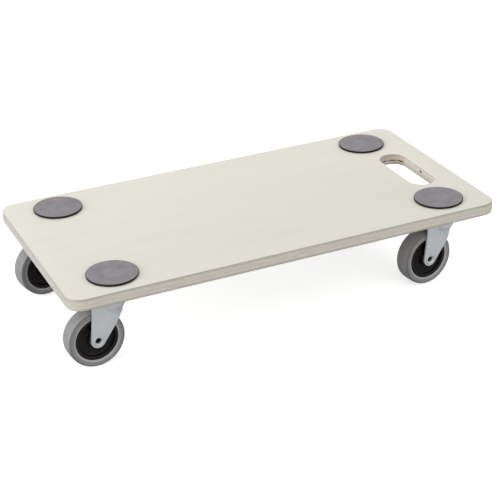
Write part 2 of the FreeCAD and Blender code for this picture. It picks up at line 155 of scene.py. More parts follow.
def layFloor(setup):
    half = setup["half"]
    mesh = bpy.data.meshes.new("studioFloor")
    mesh.from_pydata([(-half, -half, 0), (half, -half, 0), (half, half, 0), (-half, half, 0)],
                     [], [(0, 1, 2, 3)])
    floor = bpy.data.objects.new("studioFloor", mesh)
    bpy.context.scene.collection.objects.link(floor)
    material = bpy.data.materials.new("whitePaper")
    material.use_nodes = True
    nodes = material.node_tree.nodes
    links = material.node_tree.links
    nodes.clear()
    paper = nodes.new("ShaderNodeBsdfDiffuse")
    paper.label = "matt paper"
    paper.location = (-400, 100)
    paper.inputs["Color"].default_value = setup["paper"]
    lift = nodes.new("ShaderNodeEmission")
    lift.label = "lifts the shadows"
    lift.location = (-400, -60)
    lift.inputs["Strength"].default_value = setup["lift"]
    seen = nodes.new("ShaderNodeAddShader")
    seen.label = "the floor as seen"
    seen.location = (-150, 50)
    bounce = nodes.new("ShaderNodeBsdfDiffuse")
    bounce.label = "the floor as it lights"
    bounce.location = (-150, -120)
    bounce.inputs["Color"].default_value = setup["bounce"]
    path = nodes.new("ShaderNodeLightPath")
    path.label = "seen or only lighting"
    path.location = (-150, 350)
    mix = nodes.new("ShaderNodeMixShader")
    mix.label = "floor seen or floor lighting"
    mix.location = (80, 50)
    output = nodes.new("ShaderNodeOutputMaterial")
    output.label = "studio floor"
    output.location = (280, 50)
    links.new(paper.outputs["BSDF"], seen.inputs[0])
    links.new(lift.outputs["Emission"], seen.inputs[1])
    links.new(path.outputs["Is Camera Ray"], mix.inputs["Fac"])
    links.new(bounce.outputs["BSDF"], mix.inputs[1])
    links.new(seen.outputs["Shader"], mix.inputs[2])
    links.new(mix.outputs["Shader"], output.inputs["Surface"])
    mesh.materials.append(material)


placeCamera(cameraSetup)
placeLights(lightSetup)
lightSky(skySetup)
layFloor(floorSetup)
bpy.context.scene.view_settings.view_transform = "Standard"
print("camera, lights and floor placed")


# materials

plywood = {
    "veneerPale": (0.712, 0.692, 0.608, 1),
    "veneerWarm": (0.682, 0.657, 0.566, 1),
    "veneerStreak": (0.600, 0.560, 0.450, 1),
    "glueLine": (0.400, 0.350, 0.280, 1),
    "nearSideBrightness": 0.945,  # brightness of the veneer at the near long side
    "farSideBrightness": 1.015,  # and at the far long side
    "lacquerRough": 0.42,
    "plies": (1.3, 2.2, 2.9, 3.2, 2.9, 2.2, 1.3),  # millimetres, top to bottom
    "glueThickness": 0.14,  # millimetres
}
outerEdge = {
    "wood": (0.640, 0.600, 0.518),
    "endWood": (0.640, 0.612, 0.558),
    "sideTones": (0.62, 0.88, 1.0, 0.94, 1.0, 0.76, 0.64),  # one for each ply
    "endTones": (0.96, 0.90, 0.93, 1.0, 1.0, 1.04, 1.03),
    "scorch": 0.0,
}
# the hand hole's wood is painted brighter than the outer edge's, painted light that makes up for the shade
# inside the hole
holeEdge = {
    "wood": (0.86, 0.825, 0.740),
    "endWood": (0.86, 0.815, 0.712),
    "sideTones": (0.62, 0.80, 0.88, 0.86, 1.10, 0.86, 0.76),
    "endTones": (0.94, 0.84, 1.0, 0.90, 1.04, 0.84, 0.96),
    "scorch": 1.0,
}
# the torn ply gap is painted near-black throughout: painted shade in the void
plyGapShade = {
    "shade": (0.016, 0.009, 0.006, 1),
    "wood": (0.022, 0.013, 0.009),
    "endWood": (0.022, 0.013, 0.009),
    "sideTones": (1.0, 1.0, 1.0, 1.0, 1.0, 1.0, 1.0),
    "endTones": (1.0, 1.0, 1.0, 1.0, 1.0, 1.0, 1.0),
    "scorch": 0.0,
}
scorchMark = {
    "tint": (0.80, 0.72, 0.67, 1),
    "from": 0.034,  # across the board
    "to": 0.048,
}
knot = {
    "place": (0.264, -0.0050, 0.1074),
    "stretch": (0.35, 0.55, 1.6),  # a smaller number makes it longer that way
    "colour": (0.050, 0.028, 0.016, 1),
    "reach": 2.5 * millimetre,
    "core": 1.5 * millimetre,
}


def birchPlywood(name, setup, edgeSetup, low, high):
    material = bpy.data.materials.new(name)
    material.use_nodes = True
    nodes = material.node_tree.nodes
    links = material.node_tree.links
    nodes.clear()
    shader = nodes.new("ShaderNodeBsdfPrincipled")
    shader.label = "lacquered birch"
    shader.location = (600, 0)
    output = nodes.new("ShaderNodeOutputMaterial")
    output.label = "surface"
    output.location = (900, 0)
    links.new(shader.outputs["BSDF"], output.inputs["Surface"])

    # where on the board each point is
    placeFrame = nodes.new("NodeFrame")
    placeFrame.label = "place on the board"
    coords = nodes.new("ShaderNodeTexCoord")
    coords.label = "metres on the board"
    split = nodes.new("ShaderNodeSeparateXYZ")
    split.label = "along, across, up"
    facing = nodes.new("ShaderNodeSeparateXYZ")
    facing.label = "which way the face looks"
    for step, node in enumerate((coords, split, facing)):
        node.parent = placeFrame
        node.location = (-2200 + 220 * step, 300 - 160 * step)
    links.new(coords.outputs["Object"], split.inputs["Vector"])
    links.new(coords.outputs["Normal"], facing.inputs["Vector"])

    # the face veneer: long soft grain, cloudy tone, short pores
    veneerFrame = nodes.new("NodeFrame")
    veneerFrame.label = "face veneer"
    stretch = nodes.new("ShaderNodeMapping")
    stretch.label = "grain runs along the board"
    stretch.inputs["Scale"].default_value = (1.4, 17.0, 6.0)
    grain = nodes.new("ShaderNodeTexNoise")
    grain.label = "soft growth lines"
    grain.inputs["Scale"].default_value = 3.2
    grain.inputs["Detail"].default_value = 7.0
    grain.inputs["Roughness"].default_value = 0.62
    grain.inputs["Distortion"].default_value = 1.1
    grainTone = nodes.new("ShaderNodeValToRGB")
    grainTone.label = "pale to warm birch"
    grainTone.color_ramp.elements[0].position = 0.30
    grainTone.color_ramp.elements[0].color = setup["veneerWarm"]
    grainTone.color_ramp.elements[1].position = 0.52
    grainTone.color_ramp.elements[1].color = setup["veneerPale"]
    cloud = nodes.new("ShaderNodeTexNoise")
    cloud.label = "cloudy sheets of tone"
    cloud.inputs["Scale"].default_value = 4.0
    cloud.inputs["Detail"].default_value = 2.0
    cloudTone = nodes.new("ShaderNodeMapRange")
    cloudTone.label = "how much warm cloud"
    cloudTone.inputs["From Min"].default_value = 0.35
    cloudTone.inputs["From Max"].default_value = 0.75
    cloudTone.inputs["To Max"].default_value = 0.35
    veneerMix = nodes.new("ShaderNodeMix")
    veneerMix.label = "grain with cloud"
    veneerMix.data_type = "RGBA"
    veneerMix.inputs[7].default_value = setup["veneerWarm"]
    poreStretch = nodes.new("ShaderNodeMapping")
    poreStretch.label = "pores are long and thin"
    poreStretch.inputs["Scale"].default_value = (60.0, 900.0, 300.0)
    pore = nodes.new("ShaderNodeTexNoise")
    pore.label = "pores"
    pore.inputs["Scale"].default_value = 1.0
    pore.inputs["Detail"].default_value = 3.0
    poreMask = nodes.new("ShaderNodeMapRange")
    poreMask.label = "only the darkest pores"
    poreMask.inputs["From Min"].default_value = 0.60
    poreMask.inputs["From Max"].default_value = 0.78
    poreMask.inputs["To Max"].default_value = 0.30
    veneer = nodes.new("ShaderNodeMix")
    veneer.label = "veneer with pores"
    veneer.data_type = "RGBA"
    veneer.inputs[7].default_value = setup["veneerStreak"]
    drift = nodes.new("ShaderNodeMapRange")
    drift.label = "a little darker towards the near long side"
    drift.inputs["From Min"].default_value = low.y
    drift.inputs["From Max"].default_value = high.y
    drift.inputs["To Min"].default_value = setup["nearSideBrightness"]
    drift.inputs["To Max"].default_value = setup["farSideBrightness"]
    sheet = nodes.new("ShaderNodeMix")
    sheet.label = "whole sheet"
    sheet.data_type = "RGBA"
    sheet.blend_type = "MULTIPLY"
    sheet.inputs["Factor"].default_value = 1.0
    for step, node in enumerate((stretch, grain, grainTone, cloud, cloudTone, veneerMix,
                                 poreStretch, pore, poreMask, veneer, drift, sheet)):
        node.parent = veneerFrame
        node.location = (-1700 + 200 * (step % 6), 900 - 260 * (step // 6))
    links.new(coords.outputs["Object"], stretch.inputs["Vector"])
    links.new(stretch.outputs["Vector"], grain.inputs["Vector"])
    links.new(grain.outputs["Fac"], grainTone.inputs["Fac"])
    links.new(coords.outputs["Object"], cloud.inputs["Vector"])
    links.new(cloud.outputs["Fac"], cloudTone.inputs["Value"])
    links.new(cloudTone.outputs["Result"], veneerMix.inputs["Factor"])
    links.new(grainTone.outputs["Color"], veneerMix.inputs[6])
    links.new(coords.outputs["Object"], poreStretch.inputs["Vector"])
    links.new(poreStretch.outputs["Vector"], pore.inputs["Vector"])
    links.new(pore.outputs["Fac"], poreMask.inputs["Value"])
    links.new(poreMask.outputs["Result"], veneer.inputs["Factor"])
    links.new(veneerMix.outputs[2], veneer.inputs[6])
    links.new(split.outputs["Y"], drift.inputs["Value"])
    links.new(veneer.outputs[2], sheet.inputs[6])
    links.new(drift.outputs["Result"], sheet.inputs[7])

    # the sawn edge: plies in turn, end grain darker than long grain
    edgeFrame = nodes.new("NodeFrame")
    edgeFrame.label = "sawn edge"
    height = nodes.new("ShaderNodeMapRange")
    height.label = "height through the plies"
    height.inputs["From Min"].default_value = high.z
    height.inputs["From Max"].default_value = low.z
    wander = nodes.new("ShaderNodeTexNoise")
    wander.label = "plies are never quite even"
    wander.inputs["Scale"].default_value = 22.0
    wander.inputs["Detail"].default_value = 2.0
    waver = nodes.new("ShaderNodeMath")
    waver.label = "a little up and down"
    waver.operation = "MULTIPLY_ADD"
    waver.inputs[1].default_value = 0.035
    shift = nodes.new("ShaderNodeMath")
    shift.label = "centred again"
    shift.operation = "SUBTRACT"
    shift.inputs[1].default_value = 0.0175
    alongSide = nodes.new("ShaderNodeValToRGB")
    alongSide.label = "plies on the long sides"
    acrossEnd = nodes.new("ShaderNodeValToRGB")
    acrossEnd.label = "plies on the short ends"
    total = sum(setup["plies"])
    sideStops = []
    endStops = []
    reach = 0.0
    for index, ply in enumerate(setup["plies"]):
        sideTone = [part * edgeSetup["sideTones"][index] for part in edgeSetup["wood"]] + [1]
        endTone = [part * edgeSetup["endTones"][index] for part in edgeSetup["endWood"]] + [1]
        if index:
            sideStops.append((reach / total, setup["glueLine"]))
            endStops.append((reach / total, setup["glueLine"]))
        start = reach + (setup["glueThickness"] if index else 0.0)
        sideStops.append((start / total, sideTone))
        endStops.append((start / total, endTone))
        reach = reach + ply
    for ramp, stops in ((alongSide, sideStops), (acrossEnd, endStops)):
        ramp.color_ramp.interpolation = "CONSTANT"
        ramp.color_ramp.elements.remove(ramp.color_ramp.elements[1])
        ramp.color_ramp.elements[0].color = stops[0][1]
        for place, tint in stops[1:]:
            ramp.color_ramp.elements.new(place).color = tint
    endwise = nodes.new("ShaderNodeMath")
    endwise.label = "faces that look along the board"
    endwise.operation = "ABSOLUTE"
    endMask = nodes.new("ShaderNodeMapRange")
    endMask.label = "short end or long side"
    endMask.inputs["From Min"].default_value = 0.45
    endMask.inputs["From Max"].default_value = 0.9
    edge = nodes.new("ShaderNodeMix")
    edge.label = "plies all round"
    edge.data_type = "RGBA"
    fibreStretch = nodes.new("ShaderNodeMapping")
    fibreStretch.label = "fibres lie along the plies"
    fibreStretch.inputs["Scale"].default_value = (45.0, 45.0, 1300.0)
    fibre = nodes.new("ShaderNodeTexNoise")
    fibre.label = "cut fibres"
    fibre.inputs["Scale"].default_value = 1.0
    fibre.inputs["Detail"].default_value = 5.0
    fibre.inputs["Roughness"].default_value = 0.62
    fibreTone = nodes.new("ShaderNodeMapRange")
    fibreTone.label = "fibre strength"
    fibreTone.inputs["From Min"].default_value = 0.25
    fibreTone.inputs["From Max"].default_value = 0.75
    fibreTone.inputs["To Min"].default_value = 0.84
    fibreTone.inputs["To Max"].default_value = 1.12
    edgeTone = nodes.new("ShaderNodeMix")
    edgeTone.label = "plies with fibres"
    edgeTone.data_type = "RGBA"
    edgeTone.blend_type = "MULTIPLY"
    edgeTone.inputs["Factor"].default_value = 1.0
    for step, node in enumerate((height, wander, waver, shift, alongSide, acrossEnd, endwise,
                                 endMask, edge, fibreStretch, fibre, fibreTone, edgeTone)):
        node.parent = edgeFrame
        node.location = (-1700 + 200 * (step % 7), 100 - 280 * (step // 7))
    links.new(split.outputs["Z"], height.inputs["Value"])
    links.new(coords.outputs["Object"], wander.inputs["Vector"])
    links.new(wander.outputs["Fac"], waver.inputs[0])
    links.new(height.outputs["Result"], waver.inputs[2])
    links.new(waver.outputs["Value"], shift.inputs[0])
    links.new(shift.outputs["Value"], alongSide.inputs["Fac"])
    links.new(shift.outputs["Value"], acrossEnd.inputs["Fac"])
    links.new(facing.outputs["X"], endwise.inputs[0])
    links.new(endwise.outputs["Value"], endMask.inputs["Value"])
    links.new(endMask.outputs["Result"], edge.inputs["Factor"])
    links.new(alongSide.outputs["Color"], edge.inputs[6])
    links.new(acrossEnd.outputs["Color"], edge.inputs[7])
    links.new(coords.outputs["Object"], fibreStretch.inputs["Vector"])
    links.new(fibreStretch.outputs["Vector"], fibre.inputs["Vector"])
    links.new(fibre.outputs["Fac"], fibreTone.inputs["Value"])
    links.new(edge.outputs[2], edgeTone.inputs[6])
    links.new(fibreTone.outputs["Result"], edgeTone.inputs[7])

    # router scorch at one end of a cut, and a knot
    markFrame = nodes.new("NodeFrame")
    markFrame.label = "scorch and knot"
    scorchReach = nodes.new("ShaderNodeMapRange")
    scorchReach.label = "how far across"
    scorchReach.inputs["From Min"].default_value = scorchMark["from"]
    scorchReach.inputs["From Max"].default_value = scorchMark["to"]
    scorchReach.inputs["To Max"].default_value = edgeSetup["scorch"]
    scorched = nodes.new("ShaderNodeMix")
    scorched.label = "scorched wood"
    scorched.data_type = "RGBA"
    scorched.blend_type = "MULTIPLY"
    scorched.inputs[7].default_value = scorchMark["tint"]
    knotPlace = nodes.new("ShaderNodeVectorMath")
    knotPlace.label = "from the knot"
    knotPlace.operation = "SUBTRACT"
    knotPlace.inputs[1].default_value = knot["place"]
    knotStretch = nodes.new("ShaderNodeVectorMath")
    knotStretch.label = "longer along the ply"
    knotStretch.operation = "MULTIPLY"
    knotStretch.inputs[1].default_value = knot["stretch"]
    knotAway = nodes.new("ShaderNodeVectorMath")
    knotAway.label = "distance"
    knotAway.operation = "LENGTH"
    knotMask = nodes.new("ShaderNodeMapRange")
    knotMask.label = "knot"
    knotMask.inputs["From Min"].default_value = knot["reach"]
    knotMask.inputs["From Max"].default_value = knot["core"]
    knotted = nodes.new("ShaderNodeMix")
    knotted.label = "with the knot"
    knotted.data_type = "RGBA"
    knotted.inputs[7].default_value = knot["colour"]
    for step, node in enumerate((scorchReach, scorched, knotPlace, knotStretch, knotAway,
                                 knotMask, knotted)):
        node.parent = markFrame
        node.location = (-1300 + 200 * step, -700)
    links.new(split.outputs["Y"], scorchReach.inputs["Value"])
    links.new(scorchReach.outputs["Result"], scorched.inputs["Factor"])
    links.new(edgeTone.outputs[2], scorched.inputs[6])
    links.new(coords.outputs["Object"], knotPlace.inputs[0])
    links.new(knotPlace.outputs["Vector"], knotStretch.inputs[0])
    links.new(knotStretch.outputs["Vector"], knotAway.inputs[0])
    links.new(knotAway.outputs["Value"], knotMask.inputs["Value"])
    links.new(knotMask.outputs["Result"], knotted.inputs["Factor"])
    links.new(scorched.outputs[2], knotted.inputs[6])

    # faces look up or down, edges look sideways
    joinFrame = nodes.new("NodeFrame")
    joinFrame.label = "veneer or edge"
    upward = nodes.new("ShaderNodeMath")
    upward.label = "how far it looks up or down"
    upward.operation = "ABSOLUTE"
    faceMask = nodes.new("ShaderNodeMapRange")
    faceMask.label = "face, not edge"
    faceMask.inputs["From Min"].default_value = 0.74
    faceMask.inputs["From Max"].default_value = 0.94
    colour = nodes.new("ShaderNodeMix")
    colour.label = "whole board"
    colour.data_type = "RGBA"
    for step, node in enumerate((upward, faceMask, colour)):
        node.parent = joinFrame
        node.location = (-300 + 200 * step, 300)
    links.new(facing.outputs["Z"], upward.inputs[0])
    links.new(upward.outputs["Value"], faceMask.inputs["Value"])
    links.new(faceMask.outputs["Result"], colour.inputs["Factor"])
    links.new(knotted.outputs[2], colour.inputs[6])
    links.new(sheet.outputs[2], colour.inputs[7])
    links.new(colour.outputs[2], shader.inputs["Base Color"])

    # matt lacquer over a faint grain relief
    finishFrame = nodes.new("NodeFrame")
    finishFrame.label = "lacquer and relief"
    rough = nodes.new("ShaderNodeMapRange")
    rough.label = "uneven lacquer"
    rough.inputs["To Min"].default_value = setup["lacquerRough"] - 0.05
    rough.inputs["To Max"].default_value = setup["lacquerRough"] + 0.14
    relief = nodes.new("ShaderNodeMath")
    relief.label = "grain and pores"
    relief.operation = "ADD"
    bump = nodes.new("ShaderNodeBump")
    bump.label = "felt, hardly seen"
    bump.inputs["Strength"].default_value = 0.12
    bump.inputs["Distance"].default_value = 0.0002
    for step, node in enumerate((rough, relief, bump)):
        node.parent = finishFrame
        node.location = (-100 + 200 * step, -300)
    links.new(grain.outputs["Fac"], rough.inputs["Value"])
    links.new(rough.outputs["Result"], shader.inputs["Roughness"])
    links.new(pore.outputs["Fac"], relief.inputs[0])
    links.new(fibre.outputs["Fac"], relief.inputs[1])
    links.new(relief.outputs["Value"], bump.inputs["Height"])
    links.new(bump.outputs["Normal"], shader.inputs["Normal"])
    shader.inputs["Coat Weight"].default_value = 0.08
    shader.inputs["Coat Roughness"].default_value = 0.35
    return material


def mouldedRubber(name, setup):
    material = bpy.data.materials.new(name)
    material.use_nodes = True
    nodes = material.node_tree.nodes
    links = material.node_tree.links
    nodes.clear()
    shader = nodes.new("ShaderNodeBsdfPrincipled")
    shader.label = "moulded rubber"
    shader.location = (600, 0)
    output = nodes.new("ShaderNodeOutputMaterial")
    output.label = "surface"
    output.location = (900, 0)
    links.new(shader.outputs["BSDF"], output.inputs["Surface"])
    colourFrame = nodes.new("NodeFrame")
    colourFrame.label = "rubber colour"
    coords = nodes.new("ShaderNodeTexCoord")
    coords.label = "metres on the piece"
    bloom = nodes.new("ShaderNodeTexNoise")
    bloom.label = "dusty bloom"
    bloom.inputs["Scale"].default_value = 60.0
    bloom.inputs["Detail"].default_value = 7.0
    bloom.inputs["Roughness"].default_value = 0.68
    bloom.inputs["Distortion"].default_value = 0.6
    bloomTone = nodes.new("ShaderNodeMapRange")
    bloomTone.label = "bloom strength"
    bloomTone.inputs["From Min"].default_value = 0.3
    bloomTone.inputs["From Max"].default_value = 0.72
    bloomTone.inputs["To Min"].default_value = 1.0 - setup["speckle"]
    bloomTone.inputs["To Max"].default_value = 1.0 + setup["speckle"]
    # top face and flank take their own colours: on the grip pads, dust with a painted sheen on top and
    # painted shade on the flank
    facing = nodes.new("ShaderNodeSeparateXYZ")
    facing.label = "which way it looks"
    topMask = nodes.new("ShaderNodeMapRange")
    topMask.label = "dusty face with painted sheen or flank with painted shade"
    topMask.inputs["From Min"].default_value = 0.45
    topMask.inputs["From Max"].default_value = 0.97
    tone = nodes.new("ShaderNodeMix")
    tone.label = "face and flank"
    tone.data_type = "RGBA"
    tone.inputs[6].default_value = setup["flank"]
    tone.inputs[7].default_value = setup["face"]
    tinted = nodes.new("ShaderNodeMix")
    tinted.label = "with bloom"
    tinted.data_type = "RGBA"
    tinted.blend_type = "MULTIPLY"
    tinted.inputs["Factor"].default_value = 1.0
    for step, node in enumerate((coords, bloom, bloomTone, facing, topMask, tone, tinted)):
        node.parent = colourFrame
        node.location = (-1300 + 200 * step, 250 if step < 3 else 50)
    links.new(coords.outputs["Object"], bloom.inputs["Vector"])
    links.new(bloom.outputs["Fac"], bloomTone.inputs["Value"])
    links.new(coords.outputs["Normal"], facing.inputs["Vector"])
    links.new(facing.outputs["Z"], topMask.inputs["Value"])
    links.new(topMask.outputs["Result"], tone.inputs["Factor"])
    links.new(tone.outputs[2], tinted.inputs[6])
    links.new(bloomTone.outputs["Result"], tinted.inputs[7])

    # brightness by radius: faint mould rings, plus painted highlights and painted shade on the tyre's lip,
    # shoulder and tread and on the pad's rounded edge
    ringFrame = nodes.new("NodeFrame")
    ringFrame.label = "mould rings with painted highlights and shade"
    turned = nodes.new("ShaderNodeUVMap")
    turned.label = "radius and turn"
    turned.uv_map = "turned"
    radius = nodes.new("ShaderNodeSeparateXYZ")
    radius.label = "radius in decimetres"
    wander = nodes.new("ShaderNodeMath")
    wander.label = "rings wander a little"
    wander.operation = "MULTIPLY_ADD"
    wander.inputs[1].default_value = 0.004
    ringTone = nodes.new("ShaderNodeValToRGB")
    ringTone.label = "light and dark rings"
    ringStops = [(radiusMm / 100, (bright, bright, bright, 1)) for radiusMm, bright in setup["rings"]]
    ringTone.color_ramp.elements.remove(ringTone.color_ramp.elements[1])
    ringTone.color_ramp.elements[0].position = ringStops[0][0]
    ringTone.color_ramp.elements[0].color = ringStops[0][1]
    for place, tint in ringStops[1:]:
        ringTone.color_ramp.elements.new(place).color = tint
    ringed = nodes.new("ShaderNodeMix")
    ringed.label = "with rings"
    ringed.data_type = "RGBA"
    ringed.blend_type = "MULTIPLY"
    ringed.inputs["Factor"].default_value = 1.0
    for step, node in enumerate((turned, radius, wander, ringTone, ringed)):
        node.parent = ringFrame
        node.location = (-700 + 200 * step, -150)
    links.new(turned.outputs["UV"], radius.inputs["Vector"])
    links.new(bloom.outputs["Fac"], wander.inputs[0])
    links.new(radius.outputs["X"], wander.inputs[2])
    links.new(wander.outputs["Value"], ringTone.inputs["Fac"])
    links.new(tinted.outputs[2], ringed.inputs[6])
    links.new(ringTone.outputs["Color"], ringed.inputs[7])
    links.new(ringed.outputs[2], shader.inputs["Base Color"])

    skinFrame = nodes.new("NodeFrame")
    skinFrame.label = "moulded skin"
    grit = nodes.new("ShaderNodeTexNoise")
    grit.label = "fine mould grain"
    grit.inputs["Scale"].default_value = 1400.0
    grit.inputs["Detail"].default_value = 3.0
    rough = nodes.new("ShaderNodeMapRange")
    rough.label = "matt, a little uneven"
    rough.inputs["To Min"].default_value = setup["roughness"] - 0.10
    rough.inputs["To Max"].default_value = setup["roughness"] + 0.12
    bump = nodes.new("ShaderNodeBump")
    bump.label = "mould grain relief"
    bump.inputs["Strength"].default_value = setup["relief"]
    bump.inputs["Distance"].default_value = 0.0001
    for step, node in enumerate((grit, rough, bump)):
        node.parent = skinFrame
        node.location = (-500 + 220 * step, -450)
    links.new(coords.outputs["Object"], grit.inputs["Vector"])
    links.new(bloom.outputs["Fac"], rough.inputs["Value"])
    links.new(rough.outputs["Result"], shader.inputs["Roughness"])
    links.new(grit.outputs["Fac"], bump.inputs["Height"])
    links.new(bump.outputs["Normal"], shader.inputs["Normal"])
    shader.inputs["Specular IOR Level"].default_value = 0.30
    return material


def blackPlastic(name, setup):
    # moulded polypropylene with flow streaks and fine scuffs
    material = bpy.data.materials.new(name)
    material.use_nodes = True
    nodes = material.node_tree.nodes
    links = material.node_tree.links
    nodes.clear()
    shader = nodes.new("ShaderNodeBsdfPrincipled")
    shader.label = "moulded plastic"
    shader.location = (600, 0)
    output = nodes.new("ShaderNodeOutputMaterial")
    output.label = "surface"
    output.location = (900, 0)
    links.new(shader.outputs["BSDF"], output.inputs["Surface"])
    colourFrame = nodes.new("NodeFrame")
    colourFrame.label = "plastic colour"
    coords = nodes.new("ShaderNodeTexCoord")
    coords.label = "metres on the wheel"
    flow = nodes.new("ShaderNodeTexNoise")
    flow.label = "flow of the melt"
    flow.inputs["Scale"].default_value = 55.0
    flow.inputs["Detail"].default_value = 4.0
    flow.inputs["Distortion"].default_value = 0.8
    tone = nodes.new("ShaderNodeMix")
    tone.label = "black with brown cast"
    tone.data_type = "RGBA"
    tone.inputs[6].default_value = setup["black"]
    tone.inputs[7].default_value = setup["brown"]
    for step, node in enumerate((coords, flow, tone)):
        node.parent = colourFrame
        node.location = (-900 + 240 * step, 150)
    links.new(coords.outputs["Object"], flow.inputs["Vector"])
    links.new(flow.outputs["Fac"], tone.inputs["Factor"])
    links.new(tone.outputs[2], shader.inputs["Base Color"])

    skinFrame = nodes.new("NodeFrame")
    skinFrame.label = "satin skin"
    scuff = nodes.new("ShaderNodeTexNoise")
    scuff.label = "handling scuffs"
    scuff.inputs["Scale"].default_value = 260.0
    scuff.inputs["Detail"].default_value = 6.0
    rough = nodes.new("ShaderNodeMapRange")
    rough.label = "satin, scuffed in places"
    rough.inputs["To Min"].default_value = setup["roughness"] - 0.06
    rough.inputs["To Max"].default_value = setup["roughness"] + 0.16
    bump = nodes.new("ShaderNodeBump")
    bump.label = "spark-eroded grain"
    bump.inputs["Strength"].default_value = 0.12
    bump.inputs["Distance"].default_value = 0.0001
    for step, node in enumerate((scuff, rough, bump)):
        node.parent = skinFrame
        node.location = (-400 + 220 * step, -250)
    links.new(coords.outputs["Object"], scuff.inputs["Vector"])
    links.new(scuff.outputs["Fac"], rough.inputs["Value"])
    links.new(rough.outputs["Result"], shader.inputs["Roughness"])
    links.new(scuff.outputs["Fac"], bump.inputs["Height"])
    links.new(bump.outputs["Normal"], shader.inputs["Normal"])
    shader.inputs["Specular IOR Level"].default_value = 0.28
    return material


